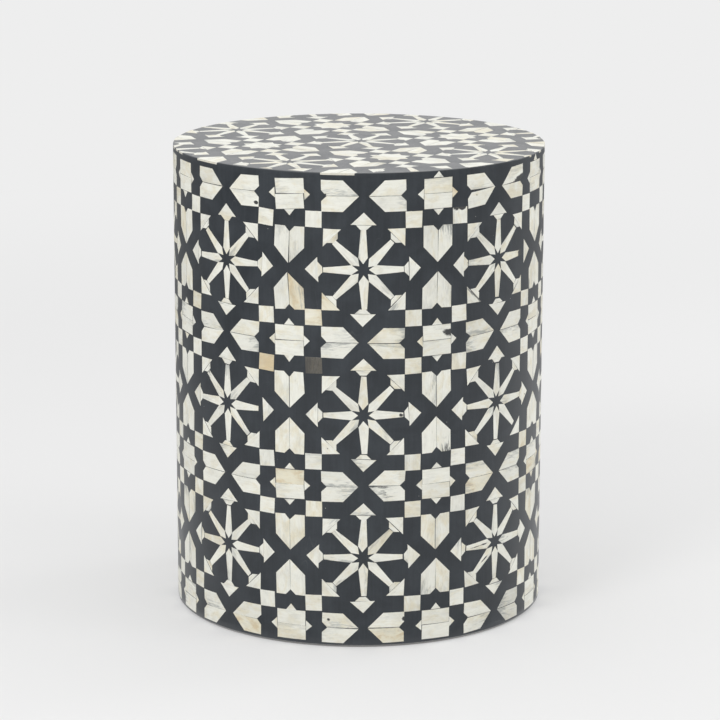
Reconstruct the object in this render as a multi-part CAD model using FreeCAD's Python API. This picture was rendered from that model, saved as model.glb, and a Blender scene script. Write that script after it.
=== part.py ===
import FreeCAD, Part
import math
import os

os.makedirs("parts", exist_ok=True)

# Frame: millimetres, Z up, origin at the middle of the base. A column of stars faces -Y.

# Sizes of the whole drum
DRUM_DIAMETER = 356.0
DRUM_HEIGHT = 450.0

# The staved carcass that carries the inlay
STAVE_COUNT = 24
STAVE_THICKNESS = 12.0
STAVE_LIFT = 1.0
TOP_BOARD_THICKNESS = 18.0
BASE_BOARD_THICKNESS = 15.0
BASE_BOARD_RECESS = 4.0

# The dark resin ground and the bone slips that lie on it
BONE_THICKNESS = 2.0
SIDE_RESIN_THICKNESS = 3.0
TOP_EDGE_BAND = 6.0
FOOT_BAND = 4.3
FOOT_CHAMFER = 3.5

# The layout of the top: the side's motif on a square grid that is turned and shifted
TOP_SPREAD = 1.6
TOP_TURN_DEG = -30.2
TOP_SHIFT_RIGHT = 1.1
TOP_SHIFT_BACK = 4.8
LEAST_CLIPPED_SHARE = 0.12

# The motif, measured from the middle of a star
SEAM = 0.35
ARROW_COUNT = 8
SQUARE_COUNT = 4
SPOKE_START = 5.0
SPOKE_SHOULDER = 11.0
SPOKE_END = 36.9
SPOKE_END_WIDTH = 4.8
COLLAR_ROOM = 4.7
HEAD_WIDTH = 23.4
SQUARE_SIDE = 15.6

# Shields, measured from the middle of the gap between two stars
SHIELD_TIP = 4.2
SHIELD_END = 38.8
SHIELD_WIDTH = 29.2
NOTCH_DEPTH = 5.0

# Corner blocks, in the middle between four stars
BLOCK_SIDE = 28.4

# Sizes that follow from those above
DRUM_RADIUS = DRUM_DIAMETER / 2
BED_RADIUS = DRUM_RADIUS - BONE_THICKNESS
STAVE_OUTER_RADIUS = BED_RADIUS - SIDE_RESIN_THICKNESS
STAVE_INNER_RADIUS = STAVE_OUTER_RADIUS - STAVE_THICKNESS / math.cos(math.pi / STAVE_COUNT)
TOP_BED_HEIGHT = DRUM_HEIGHT - BONE_THICKNESS
CARCASS_HEIGHT = DRUM_HEIGHT - TOP_EDGE_BAND
HEAD_START = SPOKE_END + COLLAR_ROOM
SQUARE_START = (HEAD_START + HEAD_WIDTH / 2) / math.sqrt(2) + SEAM / 2
BELT_WIDTH = max(SHIELD_WIDTH, BLOCK_SIDE)
LEAST_PITCH = 2 * (SQUARE_START + SQUARE_SIDE) + BELT_WIDTH
TOP_PITCH = LEAST_PITCH + TOP_SPREAD

# Columns of stars round the side and rows of stars up it, as many as fit
FOOT_BELT_HEIGHT = FOOT_BAND + SEAM + BELT_WIDTH / 2
RIM_BELT_HEIGHT = CARCASS_HEIGHT - SEAM - BELT_WIDTH / 2
STAR_COLUMNS = math.floor(2 * math.pi * DRUM_RADIUS / LEAST_PITCH)
STAR_ROWS = math.floor((RIM_BELT_HEIGHT - FOOT_BELT_HEIGHT) / LEAST_PITCH)
COLUMN_PITCH = 2 * math.pi * DRUM_RADIUS / STAR_COLUMNS
ROW_PITCH = (RIM_BELT_HEIGHT - FOOT_BELT_HEIGHT) / STAR_ROWS

UP = FreeCAD.Vector(0, 0, 1)
AXIS_BASE = FreeCAD.Vector(0, 0, 0)


# Outlines of the bone slips, as (across, up) points

def turned(points, angle):
    """Turn an outline's points about the middle of the motif."""
    c, s = math.cos(angle), math.sin(angle)
    return [(x * c - y * s, x * s + y * c) for x, y in points]


def moved(points, across, up):
    return [(x + across, y + up) for x, y in points]


def spoke():
    """A spoke that tapers from its shoulders, where its neighbours all but touch it."""
    shoulder = SPOKE_SHOULDER * math.tan(math.pi / ARROW_COUNT) - SEAM / 2
    end = SPOKE_END_WIDTH / 2
    return [(SPOKE_START, 0), (SPOKE_SHOULDER, -shoulder), (SPOKE_END, -end),
            (SPOKE_END, end), (SPOKE_SHOULDER, shoulder)]


def arrow_head():
    half = HEAD_WIDTH / 2
    return [(HEAD_START, -half), (HEAD_START + half, 0), (HEAD_START, half)]


def square():
    far = SQUARE_START + SQUARE_SIDE
    return [(SQUARE_START, SQUARE_START), (far, SQUARE_START), (far, far), (SQUARE_START, far)]


def shield_half():
    """The half of a shield that lies above its seam, with its point towards the middle."""
    low = SEAM / 2
    half = SHIELD_WIDTH / 2
    return [(SHIELD_TIP + low, low), (SHIELD_END - NOTCH_DEPTH + low, low),
            (SHIELD_END, NOTCH_DEPTH), (SHIELD_END, half), (SHIELD_TIP + half, half)]


def block_half():
    """The half of a corner block that lies above its seam."""
    half = BLOCK_SIDE / 2
    return [(-half, SEAM / 2), (half, SEAM / 2), (half, half), (-half, half)]


def mirrored(points):
    """The same outline below the seam, wound the same way."""
    return [(x, -y) for x, y in reversed(points)]


def ring_of(points, count):
    """The outline repeated at equal steps round the middle of the motif."""
    step = 2 * math.pi / count
    return [turned(points, step * i) for i in range(count)]


def star_kinds(column_pitch):
    """The outlines of one star, its squares and the upright shields in the gap to its right."""
    half_gap = column_pitch / 2
    halves = [shield_half(), mirrored(shield_half())]
    upright = [turned(h, a) for h in halves for a in (math.pi / 2, -math.pi / 2)]
    return {
        "spokes": ring_of(spoke(), ARROW_COUNT),
        "arrow_heads": ring_of(arrow_head(), ARROW_COUNT),
        "squares": ring_of(square(), SQUARE_COUNT),
        "upright_shields": [moved(outline, half_gap, 0) for outline in upright],
    }


def belt_kinds(column_pitch):
    """The outlines between two rows of stars: cross shields below a star and a corner block."""
    half_gap = column_pitch / 2
    halves = [shield_half(), mirrored(shield_half())]
    blocks = [block_half(), mirrored(block_half())]
    return {
        "cross_shields": [turned(h, a) for h in halves for a in (0, math.pi)],
        "corner_blocks": [moved(outline, half_gap, 0) for outline in blocks],
    }


# Solids

def revolved(profile):
    """A ring or disc from its (radius, height) profile."""
    corners = [FreeCAD.Vector(r, 0, z) for r, z in profile]
    face = Part.Face(Part.makePolygon(corners + corners[:1]))
    return face.revolve(AXIS_BASE, UP, 360)


def prism(corners, bottom, top):
    """An upright prism on a polygon of (x, y) corners."""
    points = [FreeCAD.Vector(x, y, bottom) for x, y in corners]
    face = Part.Face(Part.makePolygon(points + points[:1]))
    return face.extrude(FreeCAD.Vector(0, 0, top - bottom))


def side_slip(outline, height):
    """A flat slip with its corners at the drum's surface and its back on the resin bed."""
    across = [x for x, _ in outline]
    middle = (min(across) + max(across)) / 2
    half_width = max(across) - middle
    face_distance = math.sqrt(DRUM_RADIUS ** 2 - half_width ** 2)
    corners = [FreeCAD.Vector(x - middle, -BED_RADIUS, y + height) for x, y in outline]
    face = Part.Face(Part.makePolygon(corners + corners[:1]))
    slip = face.extrude(FreeCAD.Vector(0, BED_RADIUS - face_distance, 0))
    slip.rotate(AXIS_BASE, UP, math.degrees(middle / DRUM_RADIUS))
    return slip


def round_the_drum(solids):
    """Repeat one column's solids in every column."""
    step = 360 / STAR_COLUMNS
    copies = []
    for i in range(STAR_COLUMNS):
        for solid in solids:
            copy = solid.copy()
            copy.rotate(AXIS_BASE, UP, step * i)
            copies.append(copy)
    return copies


def top_cells():
    """The middles of all grid cells that may reach the disc."""
    reach = math.ceil(DRUM_RADIUS / TOP_PITCH) + 1
    span = range(-reach, reach + 1)
    return [(i * TOP_PITCH, j * TOP_PITCH) for i in span for j in span]


def on_top(outline, cell):
    """Put a motif outline into its cell, then turn and shift the grid on the disc."""
    placed = turned(moved(outline, *cell), math.radians(TOP_TURN_DEG))
    return moved(placed, TOP_SHIFT_RIGHT, TOP_SHIFT_BACK)


def clipped_top_slips(outlines):
    """Lay a kind of slip in every cell and trim it at the rim, dropping mere slivers."""
    disc = Part.makeCylinder(DRUM_RADIUS, BONE_THICKNESS, FreeCAD.Vector(0, 0, TOP_BED_HEIGHT))
    slips = []
    for cell in top_cells():
        for outline in outlines:
            placed = on_top(outline, cell)
            reaches = [math.hypot(x, y) for x, y in placed]
            if min(reaches) > DRUM_RADIUS:
                continue
            slip = prism(placed, TOP_BED_HEIGHT, DRUM_HEIGHT)
            if max(reaches) > DRUM_RADIUS:
                whole = slip.Volume
                slip = slip.common(disc)
                if slip.Volume < LEAST_CLIPPED_SHARE * whole:
                    continue
            slips.extend(slip.Solids)
    return slips


# Sub-parts of the carcass

def stave_corners(radius):
    """The corners of the staved drum's polygon at one radius."""
    step = 2 * math.pi / STAVE_COUNT
    return [(radius * math.cos(step * i), radius * math.sin(step * i)) for i in range(STAVE_COUNT)]


def wall_staves():
    """Mitred staves, edge to edge round the drum."""
    outer = stave_corners(STAVE_OUTER_RADIUS)
    inner = stave_corners(STAVE_INNER_RADIUS)
    staves = []
    for i in range(STAVE_COUNT):
        after = (i + 1) % STAVE_COUNT
        stave = [outer[i], outer[after], inner[after], inner[i]]
        staves.append(prism(stave, STAVE_LIFT, CARCASS_HEIGHT))
    return Part.makeCompound(staves)


def board(bottom, top):
    """A board cut to the polygon inside the staves."""
    return prism(stave_corners(STAVE_INNER_RADIUS), bottom, top)


def side_ground():
    """The resin coat of the side, with a plain band and a softened edge at the foot."""
    coat = revolved([(0, 0), (DRUM_RADIUS - FOOT_CHAMFER, 0), (DRUM_RADIUS, FOOT_CHAMFER),
                     (DRUM_RADIUS, FOOT_BAND), (BED_RADIUS, FOOT_BAND),
                     (BED_RADIUS, CARCASS_HEIGHT), (0, CARCASS_HEIGHT)])
    return coat.cut(prism(stave_corners(STAVE_OUTER_RADIUS), 0, CARCASS_HEIGHT))


def top_ground():
    """The resin coat of the top, whose edge is the plain band above the side's inlay."""
    return Part.makeCylinder(DRUM_RADIUS, TOP_EDGE_BAND - BONE_THICKNESS,
                             FreeCAD.Vector(0, 0, CARCASS_HEIGHT))


def carcass():
    return {
        "wall_staves": wall_staves(),
        "top_board": board(CARCASS_HEIGHT - TOP_BOARD_THICKNESS, CARCASS_HEIGHT),
        "base_board": board(BASE_BOARD_RECESS, BASE_BOARD_RECESS + BASE_BOARD_THICKNESS),
        "side_ground": side_ground(),
        "top_ground": top_ground(),
    }


def side_inlay():
    """The side's slips, one node for each kind in each row, with belts between the rows of stars."""
    nodes = {}
    for step in range(2 * STAR_ROWS + 1):
        height = FOOT_BELT_HEIGHT + ROW_PITCH * step / 2
        is_belt = step % 2 == 0
        name = f"belt_{step // 2 + 1}" if is_belt else f"star_row_{step // 2 + 1}"
        kinds = belt_kinds(COLUMN_PITCH) if is_belt else star_kinds(COLUMN_PITCH)
        for kind, outlines in kinds.items():
            slips = [side_slip(outline, height) for outline in outlines]
            nodes[f"{name}_{kind}"] = Part.makeCompound(round_the_drum(slips))
    return nodes


def top_inlay():
    """The top's slips, one node for each kind."""
    kinds = star_kinds(TOP_PITCH)
    for kind, outlines in belt_kinds(TOP_PITCH).items():
        kinds[kind] = [moved(outline, 0, TOP_PITCH / 2) for outline in outlines]
    return {f"top_{kind}": Part.makeCompound(clipped_top_slips(outlines))
            for kind, outlines in kinds.items()}


for node, shape in {**carcass(), **side_inlay(), **top_inlay()}.items():
    shape.exportStep(f"parts/{node}.step")
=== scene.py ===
"""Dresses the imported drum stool: bone slips bedded in dark resin over a staved wooden drum."""

import logging
import math
import random
from dataclasses import dataclass, field
from enum import Enum
from typing import Callable, Iterable, Protocol

import bmesh
import bpy
from mathutils import Matrix, Vector


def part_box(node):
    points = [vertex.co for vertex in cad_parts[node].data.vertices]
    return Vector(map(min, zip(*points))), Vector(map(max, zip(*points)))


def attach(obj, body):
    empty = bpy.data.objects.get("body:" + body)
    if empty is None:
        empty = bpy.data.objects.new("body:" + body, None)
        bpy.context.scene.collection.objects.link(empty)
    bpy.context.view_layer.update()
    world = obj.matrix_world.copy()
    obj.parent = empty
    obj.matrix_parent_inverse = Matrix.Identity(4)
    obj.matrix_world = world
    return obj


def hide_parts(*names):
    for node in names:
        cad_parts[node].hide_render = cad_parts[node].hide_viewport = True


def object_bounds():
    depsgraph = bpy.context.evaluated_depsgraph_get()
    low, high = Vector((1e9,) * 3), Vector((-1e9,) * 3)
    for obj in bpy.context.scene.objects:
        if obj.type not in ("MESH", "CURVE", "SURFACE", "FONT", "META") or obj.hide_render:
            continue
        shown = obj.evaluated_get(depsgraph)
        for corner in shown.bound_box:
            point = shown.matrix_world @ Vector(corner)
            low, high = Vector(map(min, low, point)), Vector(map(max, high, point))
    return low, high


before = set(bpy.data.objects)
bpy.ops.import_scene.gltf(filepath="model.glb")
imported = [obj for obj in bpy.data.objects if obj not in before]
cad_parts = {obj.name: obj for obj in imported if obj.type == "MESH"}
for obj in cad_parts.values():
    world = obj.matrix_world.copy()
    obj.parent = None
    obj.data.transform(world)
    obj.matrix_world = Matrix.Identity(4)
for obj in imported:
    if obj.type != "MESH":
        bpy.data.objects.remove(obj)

log = logging.getLogger("drum_stool")

MM = 0.001
Point = tuple[float, float]
Outline = list[Point]
Triple = tuple[float, float, float]
SlipKey = tuple[str, int, int]
Socket = bpy.types.NodeSocket
Value = float | tuple | Socket

CAD_LOW, CAD_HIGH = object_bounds()


def srgb(red: int, green: int, blue: int) -> Triple:
    """Turns a colour as a screen shows it into the linear values that the shaders take.

    Args:
        red: red from 0 to 255.
        green: green from 0 to 255.
        blue: blue from 0 to 255.

    Returns:
        The linear red, green and blue.
    """
    def linear(value: int) -> float:
        """The linear share of one channel."""
        share = value / 255
        return share / 12.92 if share <= 0.04045 else ((share + 0.055) / 1.055) ** 2.4
    return linear(red), linear(green), linear(blue)


# Outlines in the plane of the inlay

def turned(outline: Outline, angle: float) -> Outline:
    """The outline turned anticlockwise about the middle of the motif, by radians."""
    c, s = math.cos(angle), math.sin(angle)
    return [(x * c - y * s, x * s + y * c) for x, y in outline]


def moved(outline: Outline, across: float, up: float) -> Outline:
    """The outline shifted by a step across and a step up."""
    return [(x + across, y + up) for x, y in outline]


def stretched(outline: Outline, across: float) -> Outline:
    """The outline made wider or narrower about the middle of the motif."""
    return [(x * across, y) for x, y in outline]


def both_halves(upper: Outline) -> list[Outline]:
    """The half above a seam and its mirror image below it, wound the same way."""
    return [upper, [(x, -y) for x, y in reversed(upper)]]


def edges_of(outline: Outline) -> Iterable[tuple[Point, Point]]:
    """The ends of each edge of an outline in order."""
    return zip(outline, outline[1:] + outline[:1])


def middle_of(outline: Outline) -> Point:
    """The mean of an outline's corners."""
    return sum(x for x, _ in outline) / len(outline), sum(y for _, y in outline) / len(outline)


def area_of(outline: Outline) -> float:
    """The area inside an outline."""
    return sum(x0 * y1 - x1 * y0 for (x0, y0), (x1, y1) in edges_of(outline)) / 2


def inset(outline: Outline, by: float) -> Outline:
    """Moves each edge of a convex outline inwards.

    Args:
        outline: the corners, anticlockwise.
        by: how far each edge moves in, or out if it is negative.

    Returns:
        As many corners, where the moved edges meet.
    """
    lines = []
    for (x0, y0), (x1, y1) in edges_of(outline):
        length = math.hypot(x1 - x0, y1 - y0)
        normal = ((y0 - y1) / length, (x1 - x0) / length)
        lines.append((normal, normal[0] * x0 + normal[1] * y0 + by))
    corners = []
    for i, ((d, e), f) in enumerate(lines):
        (a, b), c = lines[i - 1]
        under = a * e - b * d
        corners.append(((c * e - b * f) / under, (a * f - c * d) / under))
    return corners


def clipped(outline: Outline, radius: float, arc_step: float = 2.5 * MM,
            least_edge: float = 0.05 * MM, hair: float = 0.001 * MM) -> Outline:
    """Trims a convex outline to a disc.

    Args:
        outline: the corners, anticlockwise.
        radius: the disc's radius about the origin.
        arc_step: the longest step along the rim.
        least_edge: the shortest edge that is kept.
        hair: how near to the rim a corner counts as on it.

    Returns:
        The corners inside the disc, with the rim's arc as short steps.
    """
    if all(math.hypot(x, y) <= radius for x, y in outline):
        return outline
    fine: Outline = []
    for (x0, y0), (x1, y1) in edges_of(outline):
        dx, dy = x1 - x0, y1 - y0
        a, b, c = dx * dx + dy * dy, x0 * dx + y0 * dy, x0 * x0 + y0 * y0 - radius * radius
        if c <= 0:
            fine.append((x0, y0))
        under = b * b - a * c
        if under > 0:
            crossings = ((-b - math.sqrt(under)) / a, (-b + math.sqrt(under)) / a)
            fine += [(x0 + dx * t, y0 + dy * t) for t in crossings if 0 < t < 1]
    if len(fine) < 2:
        return []
    whole: Outline = []
    for (x0, y0), (x1, y1) in edges_of(fine):
        whole.append((x0, y0))
        on_rim = min(math.hypot(x0, y0), math.hypot(x1, y1)) > radius - hair
        steps = math.ceil(math.hypot(x1 - x0, y1 - y0) / arc_step)
        if on_rim and steps > 1:
            start, end = math.atan2(y0, x0), math.atan2(y1, x1)
            sweep = (end - start + math.pi) % math.tau - math.pi
            whole += [(radius * math.cos(start + sweep * i / steps),
                       radius * math.sin(start + sweep * i / steps)) for i in range(1, steps)]
    tidy = [p for p, q in edges_of(whole) if math.dist(p, q) > least_edge]
    return tidy if len(tidy) > 2 else []


class SlipKind(Enum):
    """The shapes that the bone is cut to, by the last words of their nodes' names."""

    SPOKE = "spokes"
    COLLAR = "arrow_collars"
    HEAD = "arrow_heads"
    SQUARE = "squares"
    UPRIGHT_SHIELD = "upright_shields"
    CROSS_SHIELD = "cross_shields"
    BLOCK = "corner_blocks"
    POINT = "corner_points"


ARROWS = 8
QUARTER = math.pi / 2


@dataclass(frozen=True)
class Motif:
    """The sizes of the repeated star motif, in metres from the middle of a star."""

    seam: float = 0.24 * MM
    spoke_start: float = 5.0 * MM
    spoke_shoulder: float = 11.0 * MM
    spoke_end: float = 36.9 * MM
    spoke_end_width: float = 4.8 * MM
    collar_start: float = 37.2 * MM
    collar_length: float = 4.32 * MM
    collar_narrow: float = 5.8 * MM
    collar_wide: float = 14.4 * MM
    head_start: float = 41.6 * MM
    head_width: float = 23.4 * MM
    square_start: float = 38.0 * MM
    square_side: float = 15.4 * MM
    shield_tip: float = 4.2 * MM
    shield_end: float = 38.8 * MM
    shield_width: float = 29.2 * MM
    notch_depth: float = 5.0 * MM
    block_side: float = 28.2 * MM
    point_height: float = 6.0 * MM
    point_width: float = 10.6 * MM

    def spoke(self) -> Outline:
        """A spoke that tapers outwards from its shoulders.

        Returns:
            Its corners.
        """
        shoulder = self.spoke_shoulder * math.tan(math.pi / ARROWS) - self.seam / 2
        end = self.spoke_end_width / 2
        return [(self.spoke_start, 0), (self.spoke_shoulder, -shoulder), (self.spoke_end, -end),
                (self.spoke_end, end), (self.spoke_shoulder, shoulder)]

    def collar(self) -> Outline:
        """The flared collar between a spoke and its head.

        Returns:
            Its corners.
        """
        near, far = self.collar_narrow / 2, self.collar_wide / 2
        end = self.collar_start + self.collar_length
        return [(self.collar_start, -near), (end, -far), (end, far), (self.collar_start, near)]

    def head(self) -> Outline:
        """The triangular head of an arrow."""
        half = self.head_width / 2
        return [(self.head_start, -half), (self.head_start + half, 0), (self.head_start, half)]

    def square(self) -> Outline:
        """The square up and to the right of a star."""
        near, far = self.square_start, self.square_start + self.square_side
        return [(near, near), (far, near), (far, far), (near, far)]

    def shield(self) -> list[Outline]:
        """The two halves of a shield, with its point towards the middle."""
        low, half = self.seam / 2, self.shield_width / 2
        return both_halves([(self.shield_tip + low, low),
                            (self.shield_end - self.notch_depth + low, low),
                            (self.shield_end, self.notch_depth), (self.shield_end, half),
                            (self.shield_tip + half, half)])

    def block(self) -> list[Outline]:
        """The two halves of a corner block."""
        low, half = self.seam / 2, self.block_side / 2
        return both_halves([(-half, low), (half, low), (half, half), (-half, half)])

    def point(self) -> Outline:
        """The small point to the right of a corner block."""
        base, half = self.block_side / 2 + self.seam, self.point_width / 2
        return [(base, -half), (base + self.point_height, 0), (base, half)]


@dataclass(frozen=True)
class Knot:
    """A dark spot of a slip, or a crack where it is slim, placed from the slip's middle."""

    along: float
    across: float
    size: float
    slimness: float = 1.0
    lean: float = 0.0

    def place(self, along: float, across: float) -> Triple:
        """A point's place from the spot's middle, in sizes of the spot."""
        x, y = turned([(along - self.along, across - self.across)], -self.lean)[0]
        return x / self.size, y * self.slimness / self.size, 0.0


@dataclass(frozen=True)
class BoneLook:
    """How one slip of bone differs from the next.

    Warmth runs from ivory to tan, grey from clean through smudged to burnt, and shade darkens
    all of it. The stain comes in from one side, at an angle in radians from along the grain.
    """

    warmth: float = 0.2
    grey: float = 0.1
    shade: float = 1.0
    stain_from: float = 1.57
    knot: Knot | None = None


@dataclass
class Slip:
    """One slip: its corners on the unrolled surface, the way its grain runs and its look."""

    corners: Outline
    grain: float
    look: BoneLook
    seed: float
    lift: float


@dataclass(frozen=True)
class Cut:
    """One outline of a kind in the motif, with what moves with it and how its grain runs."""

    outline: Outline
    unit: str
    grain: float


@dataclass(frozen=True)
class HandWork:
    """How far the cutter's and layer's hand strays, in metres and radians."""

    unit_stray: float = 0.34 * MM
    unit_turn: float = math.radians(1.2)
    own_stray: float = 0.08 * MM
    own_turn: float = math.radians(0.45)
    corner_stray: float = 0.16 * MM
    grain_turn: float = 0.06
    lift_spread: float = 0.05 * MM


class Surface(Protocol):
    """A surface of the drum that takes inlay, with flat coordinates of its own."""

    facet: float

    def place(self, across: float, up: float, out: float) -> Vector:
        """The place in the frame of a point on the surface or a little out from it."""


@dataclass(frozen=True)
class DrumSide:
    """The drum's side, unrolled from the front column of stars to the right."""

    radius: float
    facet: float = 6.2 * MM

    def place(self, across: float, up: float, out: float) -> Vector:
        """Rolls a flat point up onto the drum.

        Args:
            across: the way along the rim to the right of the front.
            up: the height.
            out: the distance outwards from the surface.

        Returns:
            The place in the frame.
        """
        angle = across / self.radius - QUARTER
        reach = self.radius + out
        return Vector((reach * math.cos(angle), reach * math.sin(angle), up))


@dataclass(frozen=True)
class DrumTop:
    """The drum's flat top."""

    height: float
    facet: float = 0.0

    def place(self, across: float, up: float, out: float) -> Vector:
        """The place in the frame of a point of the top."""
        return Vector((across, up, self.height + out))


@dataclass(frozen=True)
class DrumLayout:
    """Where the rows of the side's inlay and the grid of the top's lie, in metres."""

    radius: float
    height: float
    top_joint: float
    star_heights: tuple[float, ...]
    belt_heights: tuple[float, ...]
    columns: int = 8
    top_pitch: float = 137.72 * MM
    top_turn: float = math.radians(-30.2)
    top_shift: Point = (1.1 * MM, 4.8 * MM)

    @classmethod
    def from_frame(cls) -> "DrumLayout":
        """Reads the rows' heights and the drum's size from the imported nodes.

        Returns:
            The layout.
        """
        def heights(prefix: str, kind: SlipKind) -> tuple[float, ...]:
            """The middle heights of the rows whose nodes have this prefix and kind."""
            names = sorted(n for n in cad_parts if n.startswith(prefix) and n.endswith(kind.value))
            return tuple((low.z + high.z) / 2 for low, high in map(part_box, names))
        return cls(radius=min(CAD_HIGH.x, CAD_HIGH.y, -CAD_LOW.x, -CAD_LOW.y), height=CAD_HIGH.z,
                   top_joint=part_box("side_ground")[1].z,
                   star_heights=heights("star_row_", SlipKind.SPOKE),
                   belt_heights=heights("belt_", SlipKind.BLOCK))

    @property
    def column_pitch(self) -> float:
        """The way along the rim from one column of stars to the next."""
        return math.tau * self.radius / self.columns


# The motif's cuts, each with the unit that it is laid with

def star_cuts(motif: Motif, pitch: float, stretch: float) -> dict[SlipKind, list[Cut]]:
    """The cuts of one star, its squares and the upright shields in the gap to its right.

    Args:
        motif: the motif's sizes.
        pitch: the way from one star to the next across.
        stretch: how much wider the star's own pieces lie than on the top.

    Returns:
        The cuts of each kind.
    """
    def ring(outline: Outline, count: int, unit: str, across_grain: float = 0.0) -> list[Cut]:
        """The outline repeated round the star, with its grain turned along."""
        angles = [math.tau * i / count for i in range(count)]
        return [Cut(stretched(turned(outline, a), stretch), f"{unit}{i}", a + across_grain)
                for i, a in enumerate(angles)]

    return {
        SlipKind.SPOKE: ring(motif.spoke(), ARROWS, "arrow"),
        SlipKind.COLLAR: ring(motif.collar(), ARROWS, "arrow", QUARTER),
        SlipKind.HEAD: ring(motif.head(), ARROWS, "arrow", QUARTER),
        SlipKind.SQUARE: ring(motif.square(), 4, "square"),
        SlipKind.UPRIGHT_SHIELD: [Cut(moved(turned(half, a), pitch / 2, 0), f"upright{a:.0f}", a)
                                  for half in motif.shield() for a in (QUARTER, -QUARTER)],
    }


def belt_cuts(motif: Motif, pitch: float) -> dict[SlipKind, list[Cut]]:
    """The cuts between two rows of stars.

    Args:
        motif: the motif's sizes.
        pitch: the way from one star to the next across.

    Returns:
        The cuts of each kind, the block's four points in quarter turns from the right.
    """
    return {
        SlipKind.CROSS_SHIELD: [Cut(turned(half, a), f"cross{a:.0f}", a)
                                for half in motif.shield() for a in (0.0, math.pi)],
        SlipKind.BLOCK: [Cut(moved(half, pitch / 2, 0), "block", 0.0) for half in motif.block()],
        SlipKind.POINT: [Cut(moved(turned(motif.point(), QUARTER * i), pitch / 2, 0), "block",
                             QUARTER * (i + 1)) for i in range(4)],
    }


@dataclass
class BoneStock:
    """The bone that slips are cut from: how their looks are drawn, and the slips that stand out.

    The first four are keyed by node, column and place in the motif. A slip laid astray is given by
    its step across, its step up and its turn in radians, and one of the top that stops short of
    the rim by the resin that is left outside it.
    """

    marks: dict[SlipKey, BoneLook] = field(default_factory=dict)
    missing: set[SlipKey] = field(default_factory=set)
    astray: dict[SlipKey, Triple] = field(default_factory=dict)
    short: dict[SlipKey, float] = field(default_factory=dict)
    warmth_spread: Point = (1.2, 5.0)
    grey_power: float = 1.8
    shade_loss: float = 0.10
    shade_power: float = 1.5
    stain_sides: tuple[float, ...] = (1.57, -1.57, 0.0, 3.14)
    stain_spread: float = 0.4
    knot_chance: float = 0.015
    knot_reach: float = 0.3
    knot_size_mm: Point = (0.5, 1.1)
    square_grey: float = 0.35

    def look(self, key: SlipKey, rng: random.Random, width: float) -> BoneLook:
        """The look of one slip.

        Args:
            key: its node, column and place in the motif.
            rng: the slip's own random draws.
            width: about how wide the slip is.

        Returns:
            Its marked look if it has one, or else one that is drawn.
        """
        warmth = rng.betavariate(*self.warmth_spread)
        grey = rng.random() ** self.grey_power
        shade = 1.0 - self.shade_loss * rng.random() ** self.shade_power
        stain_from = rng.choice(self.stain_sides) + rng.gauss(0, self.stain_spread)
        if key[0].endswith(SlipKind.SQUARE.value):
            grey *= self.square_grey
        knot = None
        if rng.random() < self.knot_chance:
            along, across = (rng.uniform(-self.knot_reach, self.knot_reach) * width for _ in range(2))
            knot = Knot(along, across, rng.uniform(*self.knot_size_mm) * MM)
        return self.marks.get(key, BoneLook(warmth, grey, shade, stain_from, knot))


@dataclass
class SlipLayer:
    """Lays the motif's cuts onto a surface by hand, with the small strays that the hand makes."""

    stock: BoneStock
    hand: HandWork = field(default_factory=HandWork)
    seeds: float = 90.0

    def lay(self, key: SlipKey, cut: Cut, to_surface: Callable[[Outline], Outline],
            turn: float = 0.0) -> Slip | None:
        """Lays one slip.

        Args:
            key: its node, its column or cell, and its place among the cuts of its kind.
            cut: the outline to cut.
            to_surface: moves an outline from the motif to its place on the surface.
            turn: how far the motif is turned on the surface.

        Returns:
            The slip, or nothing where it has fallen out.
        """
        if key in self.stock.missing:
            return None
        node, column, place = key
        row = node.rsplit("_", 2)[0]
        unit = random.Random(f"{row} {column} {cut.unit}")
        own = random.Random(f"{node} {column} {place}")
        hand = self.hand
        across, up, twist = self.stock.astray.get(key, (0.0, 0.0, 0.0))
        drift = (across + unit.gauss(0, hand.unit_stray), up + unit.gauss(0, hand.unit_stray))
        swing = twist + unit.gauss(0, hand.unit_turn)
        middle = middle_of(cut.outline)
        outline = moved(cut.outline, -middle[0], -middle[1])
        outline = [(x + own.gauss(0, hand.corner_stray), y + own.gauss(0, hand.corner_stray))
                   for x, y in turned(outline, swing + own.gauss(0, hand.own_turn))]
        outline = moved(outline, middle[0] + drift[0] + own.gauss(0, hand.own_stray),
                        middle[1] + drift[1] + own.gauss(0, hand.own_stray))
        corners = to_surface(outline)
        width = math.sqrt(abs(area_of(corners)))
        return Slip(corners, cut.grain + swing + turn + own.gauss(0, hand.grain_turn),
                    self.stock.look(key, own, width), own.uniform(0, self.seeds),
                    -own.random() * hand.lift_spread)


# Shader building

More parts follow.
